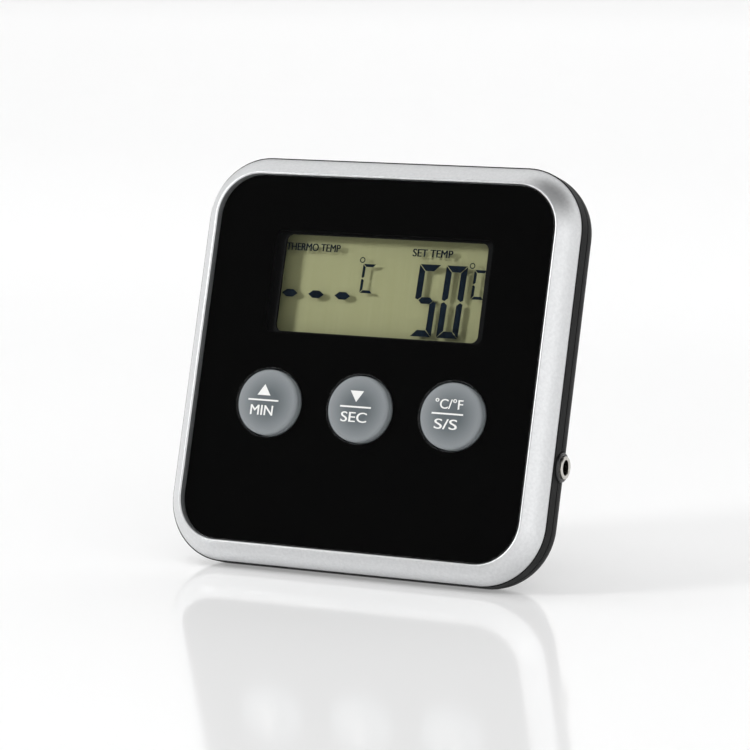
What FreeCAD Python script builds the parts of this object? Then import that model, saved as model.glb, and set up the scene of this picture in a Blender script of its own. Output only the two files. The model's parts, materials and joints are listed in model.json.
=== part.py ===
import FreeCAD, Part
import os
from math import acos, asin, atan2, cos, degrees, hypot, radians, sin, sqrt

# Digital probe thermometer for a barbecue or oven: the display unit, standing on its back stand.
# Every piece is drawn on the face: x to the right, y up the face, z out of the face, with
# z = 0 on the front of the lens. place() then leans the unit back onto its stand. Millimetres.

V = FreeCAD.Vector
X_AXIS = V(1, 0, 0)
Z_AXIS = V(0, 0, 1)

# ---- case ----
case_half = 35.0            # half the width and height of the black case
case_corner = 10.9          # corner radius of the case, seen from the front
case_depth = 18.0           # lens front to the flat of the back
case_wall = 1.5
lean = 16.22                # how far the unit leans back on its stand, degrees
parting_depth = 5.9         # joint between front housing and rear cover
parting_gap = 0.2           # open groove along that joint
side_straight = 0.5         # side runs straight for this much behind the joint
side_round = 5.0            # rounding of the rear cover after that
side_draw_in = 3.983717      # how far the cover's side then draws in, on a straight slope
back_round = 5.0            # rounding from the slope into the flat back
tongue_thickness = 0.8
tongue_height = 1.0
slip = 0.1                  # clearance between pieces that slide together
mould_draft = 0.02          # how much a hole in a moulded wall widens per millimetre

# ---- face: lens, mask, bezel ----
bezel_width = 3.5           # lens edge to the case side
lens_thickness = 1.2
mask_thickness = 0.1
tape_thickness = 0.2
tape_width = 3.0
bezel_depth = 3.5           # front of the lens to the bezel's outer edge
bezel_edge = 0.15           # step from the case side in to the bezel's outer edge
bezel_bead = 0.5            # width of the raised bead beside the lens
bezel_bead_rise = 0.12
bezel_bulge = 0.35          # how far the sloping band swells past a straight slope
bezel_wall = 1.5            # bezel's thickness at its outer edge
plate_thickness = 1.5       # housing plate behind the lens

# ---- display ----
window_half_width = 20.4
window_half_height = 8.8
window_y = 13.4
window_corner = 1.2
view_half_width = 19.0      # opening in the ledge that the display glass sits against
view_margin = 0.4           # ledge above and below the view
ledge_thickness = 0.5
glass_thickness = 1.1
glass_border = 1.6          # glass past the view on each side
glass_contact = 2.4         # strip of front glass left bare for the contact strip
reflector_thickness = 0.2
frame_wall = 0.8
zebra_width = 1.6
zebra_margin = 2.5

# ---- circuit board ----
board_depth = 6.4           # front face of the board, behind the lens front
board_thickness = 1.0
board_top = 23.8
board_bottom = -15.5
board_edge_gap = 5.0        # board edge to case side, on the right
board_post_radius = 1.9
board_screw_radius = 0.8
board_screw_head_radius = 1.6
board_screw_head = 0.9

# ---- buttons ----
button_pitch = 17.15
button_y = -7.65
button_radius = 5.61
button_gap = 0.25           # ring of air between button and lens
button_rise = 0.4           # button's crown stands this far out of the lens
button_travel = 0.7
flange_radius = 6.4
flange_thickness = 0.8
stem_radius = 3.2
stem_gap = 0.3              # ring of air between a key's stem and the mat
pill_radius = 1.9
pill_thickness = 0.3
mat_thickness = 0.8
mat_border = 5.5            # mat above and below the buttons' centres
mat_end = 3.25              # mat past the outer buttons' centres

# ---- probe socket, on the right side ----
jack_y = -13.95
jack_depth = 6.7            # socket axis behind the lens front
jack_bore = 1.25            # for a 2.5 mm plug
jack_ring = 1.9             # outside radius of the metal ring
jack_ring_out = 0.8         # ring stands out of the case side
jack_ring_length = 5.8
jack_recess = 2.6           # round recess in the case around the ring
jack_recess_depth = 0.7
jack_collar_out = 0.35      # black nut around the ring stands out of the case side
jack_body_length = 9.1
jack_body_height = 6.0
jack_body_depth = 5.0
jack_rear_bore = 1.45

# ---- battery, one AAA cell upright on the left ----
cell_radius = 5.25
cell_length = 43.7
cell_nub_radius = 1.9
cell_nub = 0.8
cell_from_side = 10.4       # cell axis to case side
cell_bottom = -24.8
cell_slack = 0.25
trough_wall = 0.7
contact_thickness = 0.4
spring_wire = 0.35          # wire radius
spring_turns = 5
spring_outer = 3.2
spring_step = 0.35
spring_room = 2.8           # room below the cell for its pressed spring
door_side_gap = 4.4         # case side to the door's outer edge
door_end = 1.4              # door past the cell's two ends
door_clearance = 0.15

# ---- stand ----
stand_half_width = 12.0
stand_thickness = 2.2
stand_hinge_y = 10.0
stand_margin = 4.1          # centre of the folded stand's rounded foot to the case's lower edge
stand_pin_radius = 0.8
stand_pin_length = 1.2
stand_gap = 0.25
stand_sink = 0.3            # folded stand lies this far below the back
stand_grip_ribs = 3
recess_wall = 1.2

# ---- magnets, buzzer, mode switch, screws ----
magnet_radius = 4.0
magnet_thickness = 2.5
magnet_x = 13.4
magnet_y = 20.5
magnet_proud = 0.1
magnet_cup = 0.8
buzzer_radius = 6.5
buzzer_brass = 0.3
buzzer_y = 21.5
buzzer_standoff = 1.3
buzzer_ceramic_radius = 4.6
buzzer_ceramic = 0.2
sound_hole = 0.7
sound_circle = 3.2
switch_from_side = 12.5     # mode switch to the case side
switch_y = 3.0
switch_travel = 2.0         # each way from the middle position
switch_height = 4.0
knob_half_x = 1.2
knob_half_y = 1.1
knob_foot = 0.35            # how much wider the knob's foot is inside the switch
knob_out = 0.8              # knob stands out of the back
screw_shank = 0.95
screw_length = 8.0
screw_head_radius = 1.9
screw_head = 1.3
boss_radius = 2.5
boss_overlap = 0.8          # boss by the stand's recess shares this much of the recess wall
boss_meet = 8.0             # depth at which front and rear bosses meet
screw_head_depth = 11.5     # depth of the seat that the screw heads pull on

# ---- worked out from the above ----
corner_centre = case_half - case_corner
lens_half = case_half - bezel_width
stand_reach = stand_hinge_y + case_half - stand_margin
round_depth = parting_depth + parting_gap + side_straight
plate_front = -(lens_thickness + mask_thickness + tape_thickness)
plate_back = plate_front - plate_thickness
bezel_half = case_half - bezel_edge
bezel_inner = lens_half + slip
plate_half = bezel_half - bezel_wall - slip
wall_inner = case_half - case_wall - slip
rim_inner = wall_inner - tongue_thickness - slip - 0.3
rim_bottom = -(parting_depth - tongue_height - slip)
back = -case_depth
button_xs = (-button_pitch, 0.0, button_pitch)
button_names = ("min", "sec", "start")
hole_radius = button_radius + button_gap
board_front = -board_depth
board_back = board_front - board_thickness
view_low = window_y - window_half_height + view_margin
view_high = window_y + window_half_height - view_margin
glass_half_width = view_half_width + glass_border
glass_low = view_low - glass_border - 0.8
glass_high = view_high + glass_border
glass_front = plate_back
glass_middle = glass_front - glass_thickness
glass_back = glass_middle - glass_thickness
reflector_back = glass_back - reflector_thickness
frame_low = glass_low - frame_wall
frame_high = glass_high + frame_wall
frame_half_width = glass_half_width + frame_wall
cell_x = cell_from_side - case_half
cell_z = back + case_wall + slip + cell_radius
cell_top = cell_bottom + cell_length + cell_nub
trough_inner = cell_radius + cell_slack
trough_outer = trough_inner + trough_wall
trough_low = cell_bottom - spring_room
trough_high = cell_top + contact_thickness
trough_chord = sqrt(max(trough_outer ** 2 - (cell_z - board_back) ** 2, 0.0))
board_left = cell_x + trough_chord + slip
board_right = case_half - board_edge_gap
jack_z = -jack_depth
jack_inner_x = rim_inner - slip
jack_rear_x = jack_inner_x - jack_body_length
jack_mouth_x = case_half + jack_ring_out
jack_ring_x = jack_mouth_x - jack_ring_length
stand_z = back + stand_sink + stand_thickness / 2
recess_floor = back + stand_sink + stand_thickness + stand_gap
recess_top = stand_hinge_y + stand_thickness / 2 + stand_gap + 1.2
recess_half = stand_half_width + stand_gap
boss_inset = corner_centre + 2.7
switch_x = case_half - switch_from_side
foot_radius = stand_thickness / 2
case_height = (
    (case_half - side_round) * cos(radians(lean)) + round_depth * sin(radians(lean)) + side_round
)
hinge_height = case_height + stand_hinge_y * cos(radians(lean)) + stand_z * sin(radians(lean))
stand_open = lean + degrees(acos((hinge_height - foot_radius) / stand_reach))
screw_points = (
    (boss_inset, boss_inset),
    (-boss_inset, boss_inset),
    (boss_inset, -boss_inset),
    (-(recess_half + boss_radius + boss_overlap), -boss_inset + boss_overlap),
)
board_screws = (
    (-button_pitch / 2, button_y - 4.55),
    (button_pitch / 2, button_y - 4.55),
    (board_right - 2.5, window_y - 3.4),
)


# ---- shapes ----
def block(x, y, z, radius=0.0):
    """Box between pairs of limits, its four edges along z rounded."""
    solid = Part.makeBox(x[1] - x[0], y[1] - y[0], z[1] - z[0], V(x[0], y[0], z[0]))
    if radius > 0:
        upright = [e for e in solid.Edges if abs(e.tangentAt(e.FirstParameter).z) > 0.9]
        solid = solid.makeFillet(radius, upright)
    return solid


def slab(half, z):
    """Square plate centred on the face; all such plates share their corner centres."""
    return block((-half, half), (-half, half), z, half - corner_centre)


def disc(x, y, radius, z):
    return Part.makeCylinder(radius, z[1] - z[0], V(x, y, z[0]), Z_AXIS)


def rod_x(y, z, radius, x):
    return Part.makeCylinder(radius, x[1] - x[0], V(x[0], y, z), X_AXIS)


def rod_y(x, z, radius, y):
    return Part.makeCylinder(radius, y[1] - y[0], V(x, y[0], z), V(0, 1, 0))


def join(solids):
    return solids[0].fuse(solids[1:]).removeSplitter()


def cut(solid, tools):
    for tool in tools:
        solid = solid.cut(tool)
    return solid


def outline(steps):
    """Face in the x-z plane from points and arcs: ("line", end) or ("arc", middle, end)."""
    here = steps[0]
    edges = []
    for step in steps[1:]:
        start = V(here[0], 0, here[1])
        end = V(step[-1][0], 0, step[-1][1])
        if step[0] == "line":
            edges.append(Part.LineSegment(start, end).toShape())
        else:
            middle = V(step[1][0], 0, step[1][1])
            edges.append(Part.Arc(start, middle, end).toShape())
        here = step[-1]
    return Part.Face(Part.Wire(edges))


def ring(steps):
    """Carry a section round the rounded square: along each side and about each corner."""
    face = outline(steps)
    side = face.translated(V(0, -corner_centre, 0)).extrude(V(0, 2 * corner_centre, 0))
    corner = face.translated(V(0, corner_centre, 0))
    corner = corner.revolve(V(corner_centre, corner_centre, 0), Z_AXIS, 90)
    quarters = []
    for quarter in range(4):
        for solid in (side, corner):
            quarters.append(solid.rotated(V(0, 0, 0), Z_AXIS, 90 * quarter))
    return join(quarters)


def cover_solid(inset, top):
    """Solid inside the rear cover's skin at the given inset, closed at z = top."""
    first = (case_half - side_round, -round_depth)
    second = (first[0] - side_draw_in, back + back_round)
    between = hypot(first[0] - second[0], first[1] - second[1])
    taper = atan2(side_draw_in, first[1] - second[1]) + asin((back_round - side_round) / between)

    def on_arc(centre, radius, angle):
        return (centre[0] + radius * cos(angle), centre[1] - radius * sin(angle))

    upper = side_round - inset
    lower = back_round - inset
    steep = (taper + radians(90)) / 2
    rim = ring([
        (corner_centre, top),
        ("line", (case_half - inset, top)),
        ("line", on_arc(first, upper, 0.0)),
        ("arc", on_arc(first, upper, taper / 2), on_arc(first, upper, taper)),
        ("line", on_arc(second, lower, taper)),
        ("arc", on_arc(second, lower, steep), on_arc(second, lower, radians(90))),
        ("line", (corner_centre, back + inset)),
        ("line", (corner_centre, top)),
    ])
    middle = (-corner_centre, corner_centre)
    return join([rim, block(middle, middle, (back + inset, top))])


# ---- face pieces ----
def window(half_width, low, high, z, radius):
    return block((-half_width, half_width), (low, high), z, radius)


def mask_window(z, grow=0.0):
    return window(
        window_half_width + grow,
        window_y - window_half_height - grow,
        window_y + window_half_height + grow,
        z,
        window_corner + grow,
    )


def button_holes(radius, z):
    return [disc(x, button_y, radius, z) for x in button_xs]


def face_lens():
    plate = slab(lens_half, (-lens_thickness, 0.0))
    return cut(plate, button_holes(hole_radius, (-lens_thickness - 1, 1)))


def lens_mask():
    low = -lens_thickness - mask_thickness
    plate = slab(lens_half - slip, (low, -lens_thickness))
    holes = button_holes(hole_radius, (low - 1, 0))
    return cut(plate, holes + [mask_window((low - 1, 0))])


def lens_tape():
    outer = slab(lens_half - 2 * slip, (plate_front, plate_front + tape_thickness))
    return outer.cut(slab(lens_half - tape_width, (plate_front - 1, 0)))


def bezel():
    bead_end = bezel_inner + bezel_bead
    chord = (bezel_half - bead_end, -bezel_depth)
    length = hypot(chord[0], chord[1])
    middle = (
        bead_end + chord[0] / 2 - bezel_bulge * chord[1] / length,
        chord[1] / 2 + bezel_bulge * chord[0] / length,
    )
    under = plate_front + slip / 2
    seat = bezel_half - bezel_wall
    return ring([
        (bezel_inner, under),
        ("line", (bezel_inner, 0.0)),
        ("arc", (bezel_inner + bezel_bead / 2, bezel_bead_rise), (bead_end, 0.0)),
        ("arc", middle, (bezel_half, -bezel_depth)),
        ("line", (seat, -bezel_depth)),
        ("line", (seat, under)),
        ("line", (bezel_inner, under)),
    ])


def jack_cuts():
    """Recess and way through for the socket, both opening outwards a little with the mould's draft."""
    cuts = []
    for start, radius in ((case_half - jack_recess_depth, jack_recess), (jack_inner_x - 1, jack_ring + 0.15)):
        length = case_half + 1 - start
        wider = radius + length * mould_draft
        cuts.append(Part.makeCone(radius, wider, length, V(start, jack_y, jack_z), X_AXIS))
    return cuts


def front_housing():
    low = -parting_depth + parting_gap / 2
    shell = join([slab(case_half, (low, -bezel_depth)), slab(plate_half, (-bezel_depth, plate_front))])
    shell = shell.cut(slab(wall_inner, (low - 1, rim_bottom)))
    shell = shell.cut(slab(rim_inner, (rim_bottom - 1, plate_back)))
    posts = [disc(x, y, boss_radius, (-boss_meet, plate_back)) for x, y in screw_points]
    posts += [disc(x, y, board_post_radius, (board_front, plate_back)) for x, y in board_screws]
    shell = join([shell] + posts)
    openings = [mask_window((plate_front - plate_thickness + ledge_thickness, 0), 0.1)]
    openings.append(window(view_half_width, view_low, view_high, (plate_back - 1, 0), window_corner))
    openings += button_holes(hole_radius + 0.1, (plate_back - 1, 0))
    pilots = [disc(x, y, screw_shank + 0.05, (-boss_meet - 1, plate_front - 0.6)) for x, y in screw_points]
    pilots += [
        disc(x, y, board_screw_radius + 0.05, (board_front - 1, plate_front - 0.6))
        for x, y in board_screws
    ]
    return cut(shell, openings + pilots + jack_cuts())


# ---- display ----
def lcd_frame():
    deep = (board_front, glass_front)
    outer = (frame_low, frame_high)
    rim = block((-frame_half_width, frame_half_width), outer, (reflector_back - slip, glass_front))
    right = block((-board_contact_half(), frame_half_width), outer, deep)
    pocket = block(
        (-glass_half_width - slip, glass_half_width + slip),
        (glass_low - slip, glass_high + slip),
        (board_front - 1, 0),
    )
    return join([rim, right]).cut(pocket)


def board_contact_half():
    """Half width of the display frame's legs that reach down to the board."""
    return view_half_width - 1.0


def lcd_front_glass():
    return block((-glass_half_width, glass_half_width), (glass_low, glass_high), (glass_middle, glass_front))


def lcd_rear_glass():
    low = glass_low + glass_contact
    return block((-glass_half_width, glass_half_width), (low, glass_high), (glass_back, glass_middle))


def lcd_reflector():
    low = glass_low + glass_contact
    return block((-glass_half_width, glass_half_width), (low, glass_high), (reflector_back, glass_back))


def zebra_strip():
    half = glass_half_width - zebra_margin
    low = glass_low + (glass_contact - zebra_width) / 2
    return block((-half, half), (low, low + zebra_width), (board_front, glass_middle))


# ---- board ----
def main_board():
    board = block((board_left, board_right), (board_bottom, board_top), (board_back, board_front), 0.8)
    notch = block(
        (jack_rear_x - 0.5, board_right + 1),
        (board_bottom - 1, jack_y + jack_body_height / 2 + 0.5),
        (board_back - 1, board_front + 1),
    )
    holes = [disc(x, y, board_screw_radius + slip, (board_back - 1, board_front + 1)) for x, y in board_screws]
    return cut(board, [notch] + holes)


def driver_chip():
    """Drop of black epoxy over the bonded chip, a low dome."""
    radius = 5.0
    height = 1.3
    ball = (radius ** 2 + height ** 2) / (2 * height)
    sphere = Part.makeSphere(ball, V(4.0, 12.0, board_back + ball - height))
    return sphere.common(block((-9, 17), (-1, 25), (board_back - height - 1, board_back)))


def clock_crystal():
    return rod_y(-9.0, board_back - 1.05, 1.0, (6.0, 12.0))


def board_parts():
    """Chip resistors and capacitors beside the epoxy drop."""
    parts = []
    for row in range(2):
        for column in range(4):
            x = -6.0 + 5.0 * column
            y = -1.0 + 3.2 * row
            parts.append(block((x, x + 2.0), (y, y + 1.25), (board_back - 0.6, board_back)))
    return Part.Compound(parts)


# ---- keys ----
def button(x):
    top = button_rise
    under = plate_back - 0.2
    crown = disc(x, button_y, button_radius, (under, top))
    rim = [e for e in crown.Edges if e.BoundBox.ZMin > top - 0.01]
    crown = crown.makeFillet(0.35, rim)
    flange = disc(x, button_y, flange_radius, (under - flange_thickness, under))
    stem = disc(x, button_y, stem_radius, (pill_top(), under))
    return join([crown, flange, stem])


def pill_top():
    return board_front + button_travel + 0.2 + pill_thickness


def contact_pill(x):
    return disc(x, button_y, pill_radius, (pill_top() - pill_thickness, pill_top()))


def keypad_mat():
    ends = button_xs[-1] + mat_end
    sheet = block(
        (-ends, ends),
        (button_y - mat_border, button_y + mat_border),
        (board_front, board_front + mat_thickness),
        1.0,
    )
    holes = [disc(x, button_y, stem_radius + stem_gap, (board_front - 1, 0)) for x in button_xs]
    posts = [disc(x, y, board_post_radius + slip, (board_front - 1, 0)) for x, y in board_screws]
    return cut(sheet, holes + posts)


# ---- probe socket ----
def jack_bushing():
    span = (jack_ring_x, jack_mouth_x)
    tube = rod_x(jack_y, jack_z, jack_ring, span).cut(rod_x(jack_y, jack_z, jack_bore, span))
    mouth = [e for e in tube.Edges if e.BoundBox.XMin > jack_mouth_x - 0.01]
    return tube.makeFillet(0.2, mouth)


def jack_collar():
    """Round nut of black nylon on the metal ring, in the recess in the case side."""
    span = (case_half - jack_recess_depth, case_half + jack_collar_out)
    nut = rod_x(jack_y, jack_z, jack_recess - slip, span)
    outer_edge = [e for e in nut.Edges if e.BoundBox.XMin > span[1] - 0.01]
    nut = nut.makeFillet(0.35, outer_edge)
    return nut.cut(rod_x(jack_y, jack_z, jack_ring + slip / 2, span))


def leaf_spans():
    """Slots above and below the bore where the two contact leaves lie."""
    inner = jack_rear_bore + 0.1
    return ((jack_z + inner, jack_z + inner + 0.3), (jack_z - inner - 0.3, jack_z - inner))


def jack_body():
    body = block(
        (jack_rear_x, jack_inner_x),
        (jack_y - jack_body_height / 2, jack_y + jack_body_height / 2),
        (jack_z - jack_body_depth / 2, jack_z + jack_body_depth / 2),
    )
    seat = rod_x(jack_y, jack_z, jack_ring + slip / 2, (jack_ring_x, jack_inner_x + 1))
    bore = rod_x(jack_y, jack_z, jack_rear_bore, (jack_rear_x + 1.0, jack_ring_x + 1))
    slots = [
        block((jack_rear_x - 1, jack_ring_x - 0.3), (jack_y - 0.6, jack_y + 0.6), (low - 0.05, high + 0.05))
        for low, high in leaf_spans()
    ]
    return cut(body, [seat, bore] + slots)


def jack_contacts():
    leaves = []
    for low, high in leaf_spans():
        leaf = block((jack_rear_x - 0.35, jack_ring_x - 0.5), (jack_y - 0.5, jack_y + 0.5), (low, high))
        leaves.append(leaf)
    tail_x = (jack_rear_x - 2.2, jack_rear_x - 0.05)
    for low, _ in leaf_spans():
        if low > jack_z:
            tail = block((jack_rear_x - 0.35, jack_rear_x - 0.05), (jack_y - 1.1, jack_y + 0.5),
                         (board_front, leaves[0].BoundBox.ZMax))
            foot = block(tail_x, (jack_y - 1.1, jack_y - 0.3), (board_front, board_front + 0.25))
            leaves[0] = join([leaves[0], tail, foot])
        else:
            tail = block((jack_rear_x - 0.35, jack_rear_x - 0.05), (jack_y - 0.5, jack_y + 1.1),
                         (leaves[1].BoundBox.ZMin, board_back))
            foot = block(tail_x, (jack_y + 0.3, jack_y + 1.1), (board_back - 0.25, board_back))
            leaves[1] = join([leaves[1], tail, foot])
    return Part.Compound(leaves)


# ---- rear cover ----
def trough(radius, y, to_back):
    """Half-round bed for the cell, with straight walls running back."""
    bed = rod_y(cell_x, cell_z, radius, y)
    walls = block((cell_x - radius, cell_x + radius), y, (to_back, cell_z))
    return join([bed, walls])


def door_zone(clearance):
    """Space that the battery door takes in the back, grown by a clearance."""
    return block(
        (-case_half + door_side_gap - clearance, cell_x + trough_outer + 0.2 + clearance),
        (cell_bottom - door_end - clearance, cell_top + door_end + clearance),
        (back - 1, -parting_depth - side_round),
    )


def rear_cover():
    top = -parting_depth - parting_gap / 2
    outer = cover_solid(0.0, top)
    skin = outer.cut(cover_solid(case_wall, top + 1))
    tongue = ring([
        (wall_inner - slip - tongue_thickness, rim_bottom - slip),
        ("line", (wall_inner - slip, rim_bottom - slip)),
        ("line", (wall_inner - slip, top)),
        ("line", (case_half - case_wall + 0.2, top)),
        ("line", (case_half - case_wall + 0.2, top - 1.5)),
        ("line", (wall_inner - slip - tongue_thickness, top - 0.7)),
        ("line", (wall_inner - slip - tongue_thickness, rim_bottom - slip)),
    ])
    bed_ends = (trough_low - 0.8, trough_high + 0.8)
    bed = trough(trough_outer, bed_ends, back + 0.5)
    pan = block(
        (-recess_half - recess_wall, recess_half + recess_wall),
        (-case_half, recess_top + recess_wall),
        (back, recess_floor + recess_wall),
    )
    cups = [
        disc(side * magnet_x, magnet_y, magnet_radius + slip + magnet_cup,
             (back, back + magnet_thickness - magnet_proud + magnet_cup))
        for side in (-1, 1)
    ]
    seat = disc(0, buzzer_y, buzzer_radius + 1.0, (back, back + case_wall + buzzer_standoff + buzzer_brass))
    bosses = [disc(x, y, boss_radius, (back, -boss_meet)) for x, y in screw_points]
    insides = join([bed, pan, seat] + cups + bosses).common(cover_solid(case_wall / 2, top + 1))
    cover = join([skin, tongue, insides])

    tools = [trough(trough_inner, (trough_low, trough_high), back + case_wall)]
    tools.append(outer.cut(cover_solid(case_wall + slip, top + 1)).common(door_zone(door_clearance)))
    tools.append(block((-recess_half, recess_half), (-case_half - 1, recess_top), (back - 1, recess_floor)))
    tools.append(
        rod_x(stand_hinge_y, stand_z, stand_pin_radius + slip,
              (-recess_half - recess_wall, recess_half + recess_wall))
    )
    for side in (-1, 1):
        tools.append(
            disc(side * magnet_x, magnet_y, magnet_radius + slip, (back - 1, back + magnet_thickness - magnet_proud))
        )
    tools.append(disc(0, buzzer_y, buzzer_radius - 0.5, (back + case_wall, -boss_meet)))
    tools.append(disc(0, buzzer_y, buzzer_radius + slip, (back + case_wall + buzzer_standoff, -boss_meet)))
    for turn in range(5):
        angle = radians(72 * turn + 90)
        x = sound_circle * cos(angle)
        y = buzzer_y + sound_circle * sin(angle)
        tools.append(disc(x, y, sound_hole, (back - 1, back + case_wall + 1)))
    tools.append(disc(0, buzzer_y, sound_hole, (back - 1, back + case_wall + 1)))
    slot_y = knob_half_y + switch_travel + slip
    tools.append(
        block((switch_x - knob_half_x - slip, switch_x + knob_half_x + slip),
              (switch_y - slot_y, switch_y + slot_y), (back - 1, back + case_wall + 1))
    )
    for x, y in screw_points:
        tools.append(disc(x, y, screw_shank + 0.2, (back - 1, 0)))
        tools.append(disc(x, y, screw_head_radius + 0.2, (back - 1, -screw_head_depth)))
    tools.append(plate_slot())
    tools.append(spring_slot())
    return cut(cover, tools + jack_cuts())


def plate_slot():
    """Way out of the cell's bed for the positive contact's tail."""
    return block(
        (cell_x, cell_x + trough_outer + 1), (cell_top, trough_high), (cell_z, board_back + slip)
    )


def spring_slot():
    """Way out of the cell's bed for the negative contact's tail."""
    return block(
        (cell_x - 1.2, cell_x + 1.2), (trough_low - 1.5, trough_low + contact_thickness),
        (cell_z + 1.0, cell_z + 2.5),
    )


def battery_door():
    top = -parting_depth - parting_gap / 2
    skin = cover_solid(0.0, top).cut(cover_solid(case_wall, top + 1))
    door = skin.common(door_zone(0.0))
    middle_x = cell_x + 1.0
    grooves = [
        block((middle_x - 3.5, middle_x + 3.5), (y, y + 0.8), (back - 1, back + 0.4))
        for y in (cell_bottom + 3.0, cell_bottom + 4.8, cell_bottom + 6.6)
    ]
    return cut(door, grooves)


# ---- battery and its contacts ----
def battery():
    can = rod_y(cell_x, cell_z, cell_radius, (cell_bottom, cell_bottom + cell_length))
    can = can.makeFillet(0.5, [e for e in can.Edges if e.Length > 6 * cell_radius])
    nub = rod_y(cell_x, cell_z, cell_nub_radius, (cell_bottom + cell_length - 1, cell_top))
    return join([can, nub])


def battery_plate():
    plate = block((cell_x - 3.5, cell_x + 3.5), (cell_top, trough_high), (cell_z - 3.5, cell_z + 3.5))
    tail = block(
        (cell_x + 2.5, cell_x + trough_outer + 0.8), (cell_top, trough_high), (cell_z + 0.5, board_back)
    )
    return join([plate, tail.common(plate_slot())])


def battery_spring():
    """Conical coil spring, its close turns drawn as rings, on a plate with a solder tail."""
    first = trough_low + contact_thickness + spring_wire - 0.05
    pitch = (cell_bottom - spring_wire - first) / (spring_turns - 1)
    turns = []
    for turn in range(spring_turns):
        y = first + pitch * turn
        radius = spring_outer - spring_step * turn
        turns.append(Part.makeTorus(radius, spring_wire, V(cell_x, y, cell_z), V(0, 1, 0)))
    plate = block(
        (cell_x - 3.6, cell_x + 3.6), (trough_low, trough_low + contact_thickness), (cell_z - 3.6, cell_z + 3.6)
    )
    tail = block((cell_x - 1.0, cell_x + 1.0), (trough_low - 1.2, trough_low + 0.2), (cell_z + 1.2, cell_z + 1.6))
    return join([plate, tail] + turns)


def lead(points, radius):
    """Short round wire through points, with a ball at each turn."""
    solids = []
    for start, end in zip(points, points[1:]):
        run = end - start
        solids.append(Part.makeCylinder(radius, run.Length, start, run))
    solids += [Part.makeSphere(radius, point) for point in points[1:-1]]
    return join(solids)


def battery_lead():
    start_z = cell_z + 1.6
    boss_x, boss_y = screw_points[3]
    below = boss_y - boss_radius - 1.3
    radius = 0.45
    return lead([
        V(cell_x, trough_low - 1.35, start_z + 2.0),
        V(cell_x + 2.0, below + 0.8, -boss_meet - 0.2),
        V(boss_x, below, -boss_meet - 0.2),
        V(boss_x + boss_radius + 1.6, below + 2.5, -boss_meet - 0.2),
        V(boss_x + boss_radius + 1.6, board_bottom + 1.5, board_back - radius),
    ], radius)


def buzzer_leads():
    radius = 0.3
    start_z = back + case_wall + buzzer_standoff + buzzer_brass + buzzer_ceramic + radius
    leads = []
    for side, reach in ((-1, 5.4), (1, 1.5)):
        leads.append(lead([
            V(side * reach, buzzer_y - 1.0, start_z),
            V(side * (reach + 0.8), buzzer_y - 2.0, (start_z + board_back) / 2),
            V(side * (reach + 0.2), buzzer_y - 1.5, board_back - 0.1),
        ], radius))
    return Part.Compound(leads)


# ---- stand, magnets, buzzer, switch, screws ----
def stand():
    """Drawn folded flat in its recess, then swung out about its pins."""
    low = stand_hinge_y - stand_reach
    z = (stand_z - foot_radius, stand_z + foot_radius)
    width = (-stand_half_width, stand_half_width)
    plate = block(width, (low, stand_hinge_y), z)
    heel = rod_x(stand_hinge_y, stand_z, foot_radius, width)
    foot = rod_x(low, stand_z, foot_radius, width)
    end = stand_half_width + stand_pin_length
    pins = rod_x(stand_hinge_y, stand_z, stand_pin_radius, (-end, end))
    flap = join([plate, heel, foot, pins])
    ribs = []
    for rib in range(stand_grip_ribs):
        y = low + 2.0 + 1.8 * rib
        ribs.append(block((-stand_half_width + 3, stand_half_width - 3), (y, y + 0.8), (z[0] - 1, z[0] + 0.4)))
    hollow = block(
        (-stand_half_width + 2.0, stand_half_width - 2.0),
        (low + 9.0, stand_hinge_y - 4.0),
        (z[1] - 0.9, z[1] + 1),
        1.0,
    )
    flap = cut(flap, ribs + [hollow])
    return flap.rotated(V(0, stand_hinge_y, stand_z), X_AXIS, stand_open)


def magnets():
    top = back - magnet_proud + magnet_thickness
    return Part.Compound([
        disc(side * magnet_x, magnet_y, magnet_radius, (back - magnet_proud, top)) for side in (-1, 1)
    ])


def buzzer_plate():
    low = back + case_wall + buzzer_standoff
    return disc(0, buzzer_y, buzzer_radius, (low, low + buzzer_brass))


def buzzer_crystal():
    low = back + case_wall + buzzer_standoff + buzzer_brass
    return disc(0, buzzer_y, buzzer_ceramic_radius, (low, low + buzzer_ceramic))


def switch_case():
    room_x = knob_half_x + knob_foot + slip
    room_y = knob_half_y + knob_foot + switch_travel + slip
    low = board_back - switch_height
    body = block((switch_x - room_x - 0.6, switch_x + room_x + 0.6),
                 (switch_y - room_y - 0.8, switch_y + room_y + 0.8), (low, board_back))
    room = block((switch_x - room_x, switch_x + room_x), (switch_y - room_y, switch_y + room_y),
                 (low + 0.5, board_back - 0.5))
    slot = block((switch_x - knob_half_x - slip, switch_x + knob_half_x + slip),
                 (switch_y - knob_half_y - switch_travel - slip, switch_y + knob_half_y + switch_travel + slip),
                 (low - 1, low + 1))
    return cut(body, [room, slot])


def switch_knob():
    low = board_back - switch_height
    foot_x = knob_half_x + knob_foot
    foot_y = knob_half_y + knob_foot
    foot = block((switch_x - foot_x, switch_x + foot_x), (switch_y - foot_y, switch_y + foot_y),
                 (low + 0.5 + slip, board_back - 0.5 - slip))
    stem = block((switch_x - knob_half_x, switch_x + knob_half_x),
                 (switch_y - knob_half_y, switch_y + knob_half_y), (back - knob_out, low + 1))
    grooves = [
        block((switch_x - 2, switch_x + 2), (y - 0.15, y + 0.15), (back - knob_out - 1, back - knob_out + 0.3))
        for y in (switch_y - 0.5, switch_y + 0.5)
    ]
    return cut(join([foot, stem]), grooves)


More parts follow.
